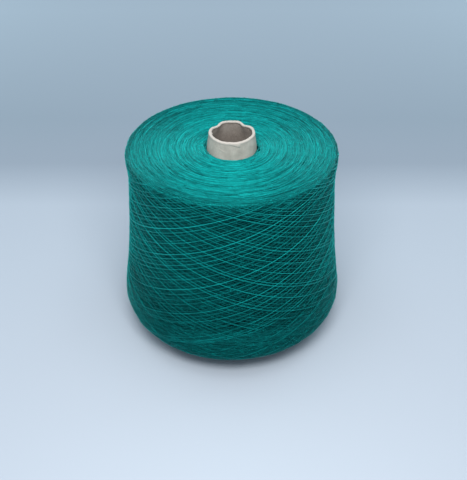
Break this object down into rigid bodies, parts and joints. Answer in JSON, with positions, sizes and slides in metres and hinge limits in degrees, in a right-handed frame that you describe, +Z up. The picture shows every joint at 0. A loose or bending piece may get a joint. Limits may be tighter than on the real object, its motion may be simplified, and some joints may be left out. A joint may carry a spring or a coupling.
{
  "type": "cone of knitting yarn",
  "caption": "Tapered paper tube with a rolled nose, wound with cross-laid teal yarn into a thick package with a dished top and a bulging foot.",
  "frame": {"origin": "middle of the base, on the surface the package stands on", "axes": "+Z up along the axis of the tapered tube, from its wide foot to its nose; +X and +Y are free, since the package is round"},
  "size_m": [0.1772, 0.1772, 0.17],
  "materials": {
    "greyboard": "matte rolled greyboard",
    "cover_paper": "matte uncoated paper",
    "yarn": "soft spun yarn, slightly hairy"
  },
  "bodies": {
    "root": {"core_tube": "greyboard", "cover_ply": "cover_paper", "yarn_package": "yarn", "transfer_tail": "yarn"}
  },
  "joints": []
}
